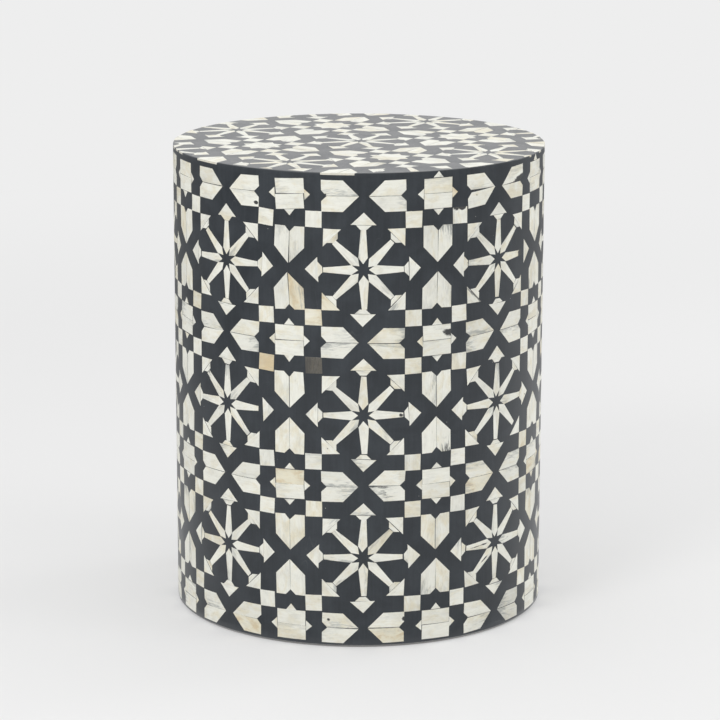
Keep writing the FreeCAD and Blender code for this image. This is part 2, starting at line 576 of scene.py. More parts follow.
@dataclass
class Shading:
    """A node tree being built, with short ways to add and join its nodes."""

    tree: bpy.types.NodeTree

    def add(self, kind: str, **settings: object) -> bpy.types.Node:
        """Adds a node.

        Args:
            kind: the node's type without the words ShaderNode.
            settings: the node's own properties.

        Returns:
            The node.
        """
        node = self.tree.nodes.new("ShaderNode" + kind)
        for name, value in settings.items():
            setattr(node, name, value)
        return node

    def put(self, value: Value, socket: Socket) -> None:
        """Joins a socket to an input, or sets the input to a plain value.

        Args:
            value: another node's output, a number, a vector or a colour.
            socket: the input.
        """
        if isinstance(value, Socket):
            self.tree.links.new(value, socket)
        else:
            socket.default_value = (*value, 1.0) if socket.type == "RGBA" else value

    def feed(self, node: bpy.types.Node, *values: Value, **named: Value) -> bpy.types.Node:
        """Gives a node its inputs.

        Args:
            node: the node.
            values: values for its first inputs, in their order.
            named: values for inputs by name, with _ for spaces.

        Returns:
            The same node.
        """
        for place, value in (*enumerate(values), *named.items()):
            self.put(value, node.inputs[place.replace("_", " ") if isinstance(place, str) else place])
        return node

    def result(self, kind: str, *values: Value, **named: Value) -> Socket:
        """The first output of a new node with these inputs."""
        return self.feed(self.add(kind), *values, **named).outputs[0]

    def group(self, tree: bpy.types.NodeTree, **values: Value) -> bpy.types.bpy_prop_collection:
        """The outputs of a node group that is placed with these inputs."""
        return self.feed(self.add("Group", node_tree=tree), **values).outputs

    def attribute(self, name: str, output: str = "Fac") -> Socket:
        """What the mesh holds at each corner under a name."""
        return self.add("Attribute", attribute_name=name).outputs[output]

    def split(self, vector: Socket) -> list[Socket]:
        """The three parts of a vector."""
        return list(self.feed(self.add("SeparateXYZ"), vector).outputs)

    def vector(self, operation: str, *values: Value) -> bpy.types.bpy_prop_collection:
        """The outputs of one sum on vectors."""
        return self.feed(self.add("VectorMath", operation=operation), *values).outputs

    def math(self, operation: str, *values: Value, clamp: bool = False) -> Socket:
        """The result of one sum on sockets or values."""
        node = self.add("Math", operation=operation, use_clamp=clamp)
        return self.feed(node, *values).outputs[0]

    def times(self, a: Value, b: Value, clamp: bool = False) -> Socket:
        """One value times another."""
        return self.math("MULTIPLY", a, b, clamp=clamp)

    def plus(self, *values: Value, clamp: bool = False) -> Socket:
        """Values added up.

        Args:
            values: two values or more.
            clamp: whether the whole is kept between 0 and 1.

        Returns:
            The sum.
        """
        total, *others = values
        for i, value in enumerate(others, start=1):
            total = self.math("ADD", total, value, clamp=clamp and i == len(others))
        return total

    def ramp(self, value: Value, low: Value, high: Value, to_low: float = 0.0, to_high: float = 1.0
             ) -> Socket:
        """A value taken smoothly from one range to another."""
        node = self.add("MapRange", interpolation_type="SMOOTHSTEP")
        return self.feed(node, value, low, high, to_low, to_high).outputs[0]

    def mix(self, share: Value, a: Value, b: Value, blend: str = "MIX") -> Socket:
        """Mixes two colours.

        Args:
            share: how much of the second colour there is.
            a: the first colour.
            b: the second colour.
            blend: the way of mixing.

        Returns:
            The mixed colour.
        """
        node = self.add("Mix", data_type="RGBA", blend_type=blend)
        sockets = {socket.identifier: socket for socket in (*node.inputs, *node.outputs)}
        for name, given in (("Factor_Float", share), ("A_Color", a), ("B_Color", b)):
            self.put(given, sockets[name])
        return sockets["Result_Color"]

    def tint(self, colour: Value, other: Value, mask: Value, strength: float) -> Socket:
        """A colour drawn towards another one where a mask is, up to a strength."""
        return self.mix(self.times(mask, strength), colour, other)

    def noise(self, place: Socket, scale: Value, detail: float = 2.0, rough: float = 0.5,
              distort: float = 0.0) -> Socket:
        """Noise between about 0 and 1.

        Args:
            place: the place that it is read at.
            scale: its density for a metre, or a density along each axis.
            detail: its layers.
            rough: how strong the finer layers are.
            distort: how far it is bent.

        Returns:
            The noise.
        """
        if isinstance(scale, tuple):
            place, scale = self.vector("MULTIPLY", place, scale)[0], 1.0
        return self.result("TexNoise", Vector=place, Scale=scale, Detail=detail, Roughness=rough,
                           Distortion=distort)

    def bump(self, height: Socket, strength: float, depth: float) -> Socket:
        """The normal of a face with this relief."""
        return self.result("Bump", Height=height, Strength=strength, Distance=depth)

    def blend(self, share: Value, a: Socket, b: Socket) -> Socket:
        """Two shaders mixed."""
        return self.result("MixShader", share, a, b)


def new_group(name: str, inputs: dict[str, str], outputs: Iterable[str]
              ) -> tuple[Shading, bpy.types.bpy_prop_collection, bpy.types.Node]:
    """Starts a shader node group.

    Args:
        name: the group's name.
        inputs: each input's name and the last word of its socket's type.
        outputs: the names of the masks that it gives.

    Returns:
        The group's tree to build in, what it is given, and its output node.
    """
    tree = bpy.data.node_groups.new(name, "ShaderNodeTree")
    for socket, kind in inputs.items():
        tree.interface.new_socket(socket, in_out="INPUT", socket_type="NodeSocket" + kind)
    for socket in outputs:
        tree.interface.new_socket(socket, in_out="OUTPUT", socket_type="NodeSocketFloat")
    given = tree.nodes.new("NodeGroupInput").outputs
    return Shading(tree), given, tree.nodes.new("NodeGroupOutput")


def grain_group() -> bpy.types.NodeTree:
    """Long streaks along a grain.

    Returns:
        A group that takes a place along and across the grain and the streaks' length and width,
        and gives a broad and a fine streak mask.
    """
    made, given, out = new_group(
        "long_grain", {"Place": "Vector", "Length": "Float", "Width": "Float"}, ("Broad", "Fine"))
    along, across, depth = made.split(given["Place"])
    for name, share, detail in (("Broad", 1.0, 3.0), ("Fine", 0.3, 2.0)):
        long, wide = (made.times(given[size], share) for size in ("Length", "Width"))
        spot = made.result("CombineXYZ", made.math("DIVIDE", along, long),
                           made.math("DIVIDE", across, wide), depth)
        made.put(made.ramp(made.noise(spot, 1.0, detail, 0.6, 0.3), 0.32, 0.72), out.inputs[name])
    return made.tree


def wear_group() -> bpy.types.NodeTree:
    """Handling marks: soft rubbed patches, hair scratches and specks of dust.

    Returns:
        A group that takes a place and a patch size, and gives a mask of each.
    """
    made, given, out = new_group(
        "handling_wear", {"Place": "Vector", "Patch Size": "Float"}, ("Patches", "Scratches", "Specks"))
    place = given["Place"]
    soft = made.noise(place, made.math("DIVIDE", 1.0, given["Patch Size"]), 4.0, 0.62, 0.4)
    # A hair scratch is where a broad noise crosses a level, broken up by another one
    stretched_place = made.vector("MULTIPLY", place, (1.0, 1.0, 0.35))[0]
    lines = made.noise(stretched_place, 46.0, 1.0, 0.5, 0.9)
    near = made.ramp(made.math("ABSOLUTE", made.math("SUBTRACT", lines, 0.5)), 0.0, 0.0035, 1.0, 0.0)
    broken = made.ramp(made.noise(place, 28.0), 0.56, 0.68)
    # A speck is near the middle of one of the few cells that are chosen
    dots = made.feed(made.add("TexVoronoi", feature="F1"), Vector=place, Scale=115.0).outputs
    small = made.ramp(dots["Distance"], 0.016, 0.05, 1.0, 0.0)
    few = made.ramp(made.result("SeparateColor", Color=dots["Color"]), 0.90, 0.92)
    made.feed(out, Patches=made.ramp(soft, 0.34, 0.70), Scratches=made.times(near, broken),
              Specks=made.times(small, few))
    return made.tree


GRAIN = grain_group()
WEAR = wear_group()


def new_material(name: str) -> tuple[Shading, bpy.types.Node, bpy.types.Material]:
    """Starts a material.

    Args:
        name: the material's name.

    Returns:
        Its tree to build in, its Principled shader and the material.
    """
    material = bpy.data.materials.new(name)
    material.use_nodes = True
    return Shading(material.node_tree), material.node_tree.nodes["Principled BSDF"], material


@dataclass(frozen=True)
class BoneFinish:
    """Polished bone: ivory to tan, streaked along the grain, with grey smudges and pores.

    The noises are given by their density for a metre along and across the grain, and by how far
    they change from one slip to the next.
    """

    pale: Triple = srgb(240, 240, 230)
    warm: Triple = srgb(232, 226, 203)
    tan: Triple = srgb(213, 194, 156)
    smudge: Triple = srgb(152, 156, 154)
    dark: Triple = srgb(70, 67, 62)
    hole: Triple = srgb(22, 25, 29)
    rim: Triple = srgb(176, 166, 146)
    streak_length: float = 26 * MM
    streak_width: float = 2.2 * MM
    cloud_noise: Triple = (70.0, 120.0, 1.0)
    stain_noise: Triple = (90.0, 420.0, 3.1)
    haze_noise: Triple = (60.0, 95.0, 1.7)
    mottle_noise: Triple = (380.0, 520.0, 1.3)
    hair_noise: Triple = (260.0, 1100.0, 2.3)
    pore_noise: Triple = (160.0, 1300.0, 1.0)
    roughness: float = 0.34
    relief: float = 0.05 * MM
    ior: float = 1.54

    def material(self) -> bpy.types.Material:
        """Builds the material, which reads each slip's own marks from the mesh.

        Returns:
            The material.
        """
        made, shader, material = new_material("polished_bone")
        place = made.attribute("grain_place", "Vector")
        warmth, grey, shade = made.split(made.attribute("bone_tone", "Vector"))
        broad, fine = made.group(GRAIN, Place=place, Length=self.streak_length,
                                 Width=self.streak_width)
        cloud = made.noise(place, self.cloud_noise, 4.0, 0.62, 0.5)
        # The warm tone drifts over a slip, least where the slip is tan all over
        steady = made.ramp(warmth, 0.5, 0.95, 1.0, 0.3)
        drift = made.times(made.ramp(cloud, 0.3, 0.72, -0.28, 0.34), steady)
        warm_share = made.plus(warmth, drift, clamp=True)
        colour = made.mix(made.ramp(warm_share, 0.0, 0.7), self.pale, self.warm)
        colour = made.mix(made.ramp(warm_share, 0.62, 1.0), colour, self.tan)
        streaks = made.plus(made.times(broad, 0.10), made.times(fine, 0.07))
        colour = made.mix(streaks, colour, self.rim)
        # Grey comes in from the stained side, with a haze and a mottle all over
        stains = made.noise(place, self.stain_noise, 4.0, 0.62, 0.5)
        stain = made.plus(made.attribute("stain_share"), made.ramp(stains, 0.25, 0.75, -0.75, 0.75))
        stain = made.ramp(stain, 0.1, 1.25)
        colour = made.tint(colour, self.smudge, made.times(stain, grey, clamp=True), 0.75)
        haze = made.ramp(made.noise(place, self.haze_noise, 5.0, 0.65), 0.45, 0.8)
        colour = made.tint(colour, self.smudge, haze, 0.24)
        mottle = made.noise(place, self.mottle_noise, 4.0, 0.72, 0.8)
        mottle = made.times(made.ramp(mottle, 0.48, 0.78), made.ramp(cloud, 0.4, 0.7))
        colour = made.tint(colour, self.smudge, mottle, 0.26)
        # The greyest slips show dark marrow in hairs, and the burnt ones are dark throughout
        hairs = made.noise(place, self.hair_noise, 3.0, 0.7, 1.2)
        marrow = made.times(made.ramp(grey, 1.0, 1.2), made.ramp(stain, 0.25, 0.85))
        marrow = made.times(marrow, made.ramp(hairs, 0.36, 0.6, 0.25, 0.8))
        colour = made.mix(marrow, colour, self.dark)
        burnt = made.times(made.ramp(grey, 1.5, 2.0), made.ramp(hairs, 0.3, 0.7, 0.99, 0.9))
        colour = made.mix(burnt, colour, self.dark)
        pore = made.ramp(made.noise(place, self.pore_noise, 1.0), 0.70, 0.78)
        colour = made.tint(colour, self.dark, pore, 0.22)
        # A knot is a dark spot with a ragged edge
        away = made.vector("LENGTH", made.attribute("knot_place", "Vector"))["Value"]
        ragged = made.plus(away, made.ramp(cloud, 0.3, 0.7, -0.7, 0.7))
        colour = made.mix(made.ramp(ragged, 0.7, 1.25, 0.97, 0.0), colour, self.hole)
        colour = made.tint(colour, self.rim, made.attribute("slip_rim"), 0.35)
        dimmed = made.result("CombineXYZ", shade, shade, shade)
        height = made.math("SUBTRACT", fine, made.times(pore, 2.0))
        made.feed(shader, Base_Color=made.mix(1.0, colour, dimmed, "MULTIPLY"), IOR=self.ior,
                  Roughness=made.plus(self.roughness, made.times(fine, 0.10), made.times(pore, 0.2)),
                  Normal=made.bump(height, 0.35, self.relief))
        return material


@dataclass(frozen=True)
class ResinFinish:
    """Filled slate resin, rubbed down to a satin face, with a paler band along the foot that is rubbed
    wear and a painted reflection of the floor.
    """

    slate: Triple = srgb(28, 34, 40)
    rubbed: Triple = srgb(50, 56, 62)
    scratch: Triple = srgb(120, 124, 126)
    dust: Triple = srgb(225, 225, 220)
    # The foot's band is rubbed wear and a painted reflection of the bright floor on the rounding, up to
    # this height
    scuff_and_floor_reflection: Triple = srgb(122, 121, 119)
    reflection_band_top: float = 2.5 * MM
    reflection_band_blur: float = 0.3 * MM
    patch_size: float = 34 * MM
    stroke_noise: Triple = (420.0, 420.0, 22.0)
    grit_noise: float = 1600.0
    roughness: float = 0.30
    relief: float = 0.06 * MM
    ior: float = 1.5

    def material(self) -> bpy.types.Material:
        """Builds the material in the drum's own coordinates, so side and top run together.

        Returns:
            The material.
        """
        made, shader, material = new_material("slate_resin")
        place = made.add("TexCoord").outputs["Object"]
        patches, scratches, specks = made.group(WEAR, Place=place, Patch_Size=self.patch_size)
        strokes = made.noise(place, self.stroke_noise, 3.0, 0.6)
        grit = made.noise(place, self.grit_noise)
        share = made.plus(made.times(patches, 0.52), made.ramp(strokes, 0.35, 0.75, 0.0, 0.24),
                          made.ramp(grit, 0.4, 0.75, 0.0, 0.22), clamp=True)
        colour = made.mix(share, self.slate, self.rubbed)
        colour = made.tint(colour, self.scratch, scratches, 0.12)
        colour = made.tint(colour, self.dust, specks, 0.8)
        # The foot's lowest band is painted paler, partly rubbed wear and partly a painted reflection of
        # the floor, and is rougher there
        blur = self.reflection_band_blur
        ragged = made.plus(made.split(place)[2], made.ramp(strokes, 0.3, 0.7, -blur, blur))
        foot = made.ramp(ragged, self.reflection_band_top - blur, self.reflection_band_top + blur, 1.0, 0.0)
        gloss = made.ramp(strokes, 0.3, 0.8, self.roughness - 0.02, self.roughness + 0.05)
        height = made.plus(made.times(strokes, 0.6), grit)
        made.feed(shader, Base_Color=made.tint(colour, self.scuff_and_floor_reflection, foot, 0.85), IOR=self.ior,
                  Roughness=made.plus(gloss, made.times(foot, 0.2), made.times(patches, 0.06)),
                  Normal=made.bump(height, 0.25, self.relief))
        return material


class Cutting(Enum):
    """The way a wooden piece's grain runs in the drum, as its noise's density along each axis."""

    UPRIGHT = (1.0, 1.0, 0.04)
    ALONG_X = (0.04, 1.0, 1.0)


@dataclass(frozen=True)
class WoodFinish:
    """Plain carcass wood under a thin dark stain."""

    name: str
    light: Triple
    dark: Triple
    cutting: Cutting
    roughness: float = 0.72
    patch_size: float = 60 * MM
    relief: float = 0.2 * MM

    def material(self) -> bpy.types.Material:
        """Builds the material.

        Returns:
            The material.
        """
        made, shader, material = new_material(self.name)
        place = made.add("TexCoord").outputs["Object"]
        along = made.vector("MULTIPLY", place, self.cutting.value)[0]
        rings = made.noise(along, 260.0, 3.0, 0.6, 0.6)
        fibres = made.noise(along, 1500.0)
        patches, _, specks = made.group(WEAR, Place=place, Patch_Size=self.patch_size)
        share = made.plus(made.ramp(rings, 0.3, 0.72, 0.0, 0.75),
                          made.ramp(fibres, 0.3, 0.8, 0.0, 0.25), clamp=True)
        colour = made.mix(share, self.light, self.dark)
        colour = made.tint(colour, self.dark, patches, 0.35)
        height = made.plus(rings, made.times(fibres, 0.5))
        made.feed(shader, Base_Color=made.tint(colour, self.light, specks, 0.5),
                  Roughness=made.ramp(fibres, 0.2, 0.8, self.roughness - 0.08, self.roughness + 0.1),
                  Normal=made.bump(height, 0.4, self.relief))
        return material


@dataclass(frozen=True)
class SteelFinish:
    """Zinc-plated steel of small wood screws."""

    bright: Triple = srgb(178, 174, 160)
    dull: Triple = srgb(120, 114, 100)
    patch_size: float = 3 * MM

    def material(self) -> bpy.types.Material:
        """Builds the material.

        Returns:
            The material.
        """
        made, shader, material = new_material("zinc_steel")
        place = made.add("TexCoord").outputs["Object"]
        patches = made.group(WEAR, Place=place, Patch_Size=self.patch_size)["Patches"]
        made.feed(shader, Base_Color=made.mix(patches, self.bright, self.dull), Metallic=1.0,
                  Roughness=made.ramp(patches, 0.0, 1.0, 0.3, 0.5))
        return material


# Meshes

def placed_object(name: str, data: bpy.types.ID) -> bpy.types.Object:
    """Puts a mesh, a lamp or a camera into the scene.

    Args:
        name: the object's name.
        data: what it shows.

    Returns:
        The object.
    """
    placed = bpy.data.objects.new(name, data)
    bpy.context.scene.collection.objects.link(placed)
    return placed


def new_mesh(name: str, bm: bmesh.types.BMesh, material: bpy.types.Material) -> bpy.types.Mesh:
    """Turns a mesh in the making into a finished one, and frees it.

    Args:
        name: the mesh's name.
        bm: its corners and faces in the frame's coordinates.
        material: its material.

    Returns:
        The mesh.
    """
    mesh = bpy.data.meshes.new(name)
    bm.normal_update()
    bm.to_mesh(mesh)
    bm.free()
    mesh.materials.append(material)
    return mesh


def finish_piece(name: str, bm: bmesh.types.BMesh, material: bpy.types.Material, smooth_deg: float,
                 slot: str, *replaced: str) -> None:
    """Makes a finished piece from a mesh, riding on the root body.

    Args:
        name: the piece's name.
        bm: its mesh in the frame's coordinates, which this frees.
        material: its material.
        smooth_deg: the angle under which neighbouring faces shade as one.
        slot: not used.
        replaced: the CAD nodes that it stands for.
    """
    mesh = new_mesh(name, bm, material)
    mesh.shade_smooth()
    mesh.set_sharp_from_angle(angle=math.radians(smooth_deg))
    piece = placed_object(name, mesh)
    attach(piece, "root")
    if replaced:
        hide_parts(*replaced)
    log.info("%s: %d faces", name, len(mesh.polygons))


def bridged(bm: bmesh.types.BMesh, upper: list[bmesh.types.BMVert], lower: list[bmesh.types.BMVert]
            ) -> list[bmesh.types.BMFace]:
    """The band of faces between two closed rings of as many corners."""
    pairs = list(zip(upper, lower))
    return [bm.faces.new((a, b, d, c)) for (a, b), (c, d) in zip(pairs, pairs[1:] + pairs[:1])]


@dataclass(frozen=True)
class SlipSolid:
    """The solid that each slip is, in metres, and its place on the map, in shares of the map."""

    depth: float = 1.9 * MM
    edge_width: float = 0.2 * MM
    edge_drop: float = 0.1 * MM
    smooth_deg: float = 14
    far_knot: float = 40.0
    map_flare: float = 0.7 * MM
    map_height: float = 0.97
    map_filled: float = 0.9
    back_middle: Point = (0.5, 0.985)
    back_scale: Point = (0.2, 0.1)
    least_cut: float = 0.01 * MM


@dataclass
class InlayPiece:
    """All the slips of one kind in one row or on the top, as one piece of separate solids."""

    node: str
    surface: Surface
    slips: list[Slip]
    solid: SlipSolid = SlipSolid()
    layers: list[bmesh.types.BMLayerItem] = field(init=False)
    map: bmesh.types.BMLayerItem = field(init=False)

    def build(self, material: bpy.types.Material) -> None:
        """Makes the piece, which replaces its node where the CAD has it.

        Args:
            material: the bone.
        """
        bm = bmesh.new()
        vectors, numbers = bm.verts.layers.float_vector, bm.verts.layers.float
        self.layers = [vectors.new(name) for name in ("grain_place", "bone_tone", "knot_place")]
        self.layers += [numbers.new(name) for name in ("slip_rim", "stain_share")]
        self.map = bm.loops.layers.uv.new("OFBake")
        spans = [self.extent(slip) for slip in self.slips]
        wide, high = (max(sizes) for sizes in zip(*spans))
        columns = max(1, math.ceil(math.sqrt(len(spans) * high / wide)))
        rows = math.ceil(len(spans) / columns)
        cell = (1 / columns, self.solid.map_height / rows)
        scale = min(cell[0] / wide, cell[1] / high) * self.solid.map_filled
        for i, slip in enumerate(self.slips):
            self.add(bm, slip, ((i % columns + 0.5) * cell[0], (i // columns + 0.5) * cell[1]), scale)
        for vert in bm.verts:
            vert.co = self.surface.place(*vert.co)
        replaced = [self.node] if self.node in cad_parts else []
        finish_piece(f"{self.node}_bone", bm, material, self.solid.smooth_deg, "bone", *replaced)

    def local(self, slip: Slip, point: Point) -> Point:
        """A point along and across a slip's grain from its middle."""
        x, y = middle_of(slip.corners)
        return turned([(point[0] - x, point[1] - y)], -slip.grain)[0]

    def extent(self, slip: Slip) -> Point:
        """The room that a slip needs on the map, along and across its grain."""
        spots = [self.local(slip, p) for p in inset(slip.corners, -self.solid.map_flare)]
        return 2 * max(abs(x) for x, _ in spots), 2 * max(abs(y) for _, y in spots)

    def add(self, bm: bmesh.types.BMesh, slip: Slip, on_map: Point, scale: float) -> None:
        """Adds one slip as a closed solid with a softened edge.

        Args:
            bm: the mesh, still in the surface's flat coordinates.
            slip: the slip.
            on_map: the middle of its place on the map.
            scale: the map's size for a metre.
        """
        solid, look, full = self.solid, slip.look, slip.corners
        face, flared = inset(full, solid.edge_width), inset(full, -solid.map_flare)
        levels = [(face, face, slip.lift, 0.0), (full, full, slip.lift - solid.edge_drop, 1.0),
                  (full, flared, -solid.depth, 1.0)]
        aim = (math.cos(look.stain_from), math.sin(look.stain_from))
        reach = max(x * aim[0] + y * aim[1] for x, y in (self.local(slip, p) for p in full))
        rings, spots = [], {}
        for outline, mapped, out, rim in levels:
            ring = []
            for corner, spot in zip(outline, mapped):
                vert = bm.verts.new((*corner, out))
                along, across = self.local(slip, corner)
                knot = look.knot.place(along, across) if look.knot else (solid.far_knot, 0.0, 0.0)
                marks = ((along, across, slip.seed), (look.warmth, look.grey, look.shade), knot,
                         rim, (along * aim[0] + across * aim[1]) / reach)
                for layer, mark in zip(self.layers, marks):
                    vert[layer] = mark
                spots[vert] = self.local(slip, spot)
                ring.append(vert)
            rings.append(ring)
        faces = [bm.faces.new(rings[0])]
        for upper, lower in zip(rings, rings[1:]):
            faces += bridged(bm, upper, lower)
        back = bm.faces.new(list(reversed(rings[2])))
        for face in (*faces, back):
            (u, v), (wide, high) = (solid.back_middle, solid.back_scale) if face is back \
                else (on_map, (1.0, 1.0))
            for loop in face.loops:
                x, y = spots[loop.vert]
                loop[self.map].uv = (u + x * scale * wide, v + y * scale * high)
        if self.surface.facet:
            self.slice(bm, [vert for ring in rings for vert in ring], [*faces, back])

    def slice(self, bm: bmesh.types.BMesh, verts: list[bmesh.types.BMVert],
              faces: list[bmesh.types.BMFace]) -> None:
        """Cuts a slip into narrow strips, so that it can follow a round surface.

        Args:
            bm: the mesh, still in the surface's flat coordinates.
            verts: the slip's corners.
            faces: its faces.
        """
        step = self.surface.facet
        low, high = min(v.co.x for v in verts), max(v.co.x for v in verts)
        geometry = verts + list({e for f in faces for e in f.edges}) + faces
        for i in range(math.floor(low / step) + 1, math.ceil(high / step)):
            cut = bmesh.ops.bisect_plane(bm, geom=geometry, dist=self.solid.least_cut,
                                         plane_co=(i * step, 0, 0), plane_no=(1, 0, 0))
            geometry = cut["geom"]


@dataclass
class SideInlay:
    """The side's slips: stars in rows, with belts of shields and corner blocks between.

    The rim belt has points above only the first columns' blocks, and the foot belt none below.
    """

    layout: DrumLayout
    layer: SlipLayer
    motif: Motif = field(default_factory=Motif)
    stretch: float = 1.018
    rim_points: tuple[int, ...] = (0, 1)
    upper_place: int = 1
    lower_place: int = 3

    def build(self, material: bpy.types.Material) -> None:
        """Makes every row's pieces.

        Args:
            material: the bone.
        """
        layout, missing = self.layout, self.layer.stock.missing
        for column in range(layout.columns):
            missing.add(("belt_1_corner_points", column, self.lower_place))
            if column not in self.rim_points:
                missing.add((f"belt_{len(layout.belt_heights)}_corner_points", column,
                             self.upper_place))
        stars = star_cuts(self.motif, layout.column_pitch, self.stretch)
        belts = belt_cuts(self.motif, layout.column_pitch)
        for name, heights, kinds in (("star_row", layout.star_heights, stars),
                                     ("belt", layout.belt_heights, belts)):
            for row, height in enumerate(heights, start=1):
                self.row(f"{name}_{row}", height, kinds, material)

    def row(self, prefix: str, height: float, kinds: dict[SlipKind, list[Cut]],
            material: bpy.types.Material) -> None:
        """Makes one row's pieces.

        Args:
            prefix: the start of the row's node names.
            height: the row's middle height.
            kinds: the cuts of each kind in one column.
            material: the bone.
        """
        for kind, cuts in kinds.items():
            node = f"{prefix}_{kind.value}"
            slips = []
            for column in range(self.layout.columns):
                start = column * self.layout.column_pitch
                for place, cut in enumerate(cuts):
                    slips.append(self.layer.lay((node, column, place), cut,
                                                lambda outline: moved(outline, start, height)))
            laid = [slip for slip in slips if slip]
            InlayPiece(node, DrumSide(self.layout.radius), laid).build(material)


@dataclass
class TopInlay:
    """The top's slips: the side's motif on a flat grid that runs off the rim."""

    layout: DrumLayout
    layer: SlipLayer
    motif: Motif = field(default_factory=Motif)
    rim_gap: float = 0.02 * MM
    least_share: float = 0.12

    def build(self, material: bpy.types.Material) -> None:
        """Makes the piece of every kind.

        Args:
            material: the bone.
        """
        pitch = self.layout.top_pitch
        kinds = star_cuts(self.motif, pitch, 1.0)
        for kind, cuts in belt_cuts(self.motif, pitch).items():
            kinds[kind] = [Cut(moved(cut.outline, 0, pitch / 2), cut.unit, cut.grain) for cut in cuts]
        reach = math.ceil(self.layout.radius / pitch) + 1
        cells = [(i, j) for i in range(-reach, reach + 1) for j in range(-reach, reach + 1)]
        for kind, cuts in kinds.items():
            node = f"top_{kind.value}"
            slips = [self.trimmed((node, number, place), cut, cell)
                     for number, cell in enumerate(cells) for place, cut in enumerate(cuts)]
            laid = [slip for slip in slips if slip]
            InlayPiece(node, DrumTop(self.layout.height), laid).build(material)

    def trimmed(self, key: SlipKey, cut: Cut, cell: tuple[int, int]) -> Slip | None:
        """Lays one slip and trims it to the rim.

        Args:
            key: its node, the number of its cell and its place in the motif.
            cut: the outline to cut.
            cell: the steps to its cell across and up the grid.

        Returns:
            The slip, or nothing where it is missing or no more than a sliver is left of it.
        """
        layout = self.layout
        slip = self.layer.lay(key, cut, lambda outline: self.on_top(outline, *cell), layout.top_turn)
        if slip is None:
            return None
        gap = self.layer.stock.short.get(key, self.rim_gap)
        kept = clipped(slip.corners, layout.radius - gap)
        if not kept or area_of(kept) <= self.least_share * area_of(slip.corners):
            return None
        slip.corners = kept
        return slip

    def on_top(self, outline: Outline, i: int, j: int) -> Outline:
        """An outline moved to its cell of the turned grid.

        Args:
            outline: the corners in the motif.
            i: the cell's steps across the grid.
            j: the cell's steps up the grid.

        Returns:
            The corners on the top.
        """
        pitch = self.layout.top_pitch
        placed = turned(moved(outline, i * pitch, j * pitch), self.layout.top_turn)
        return moved(placed, *self.layout.top_shift)


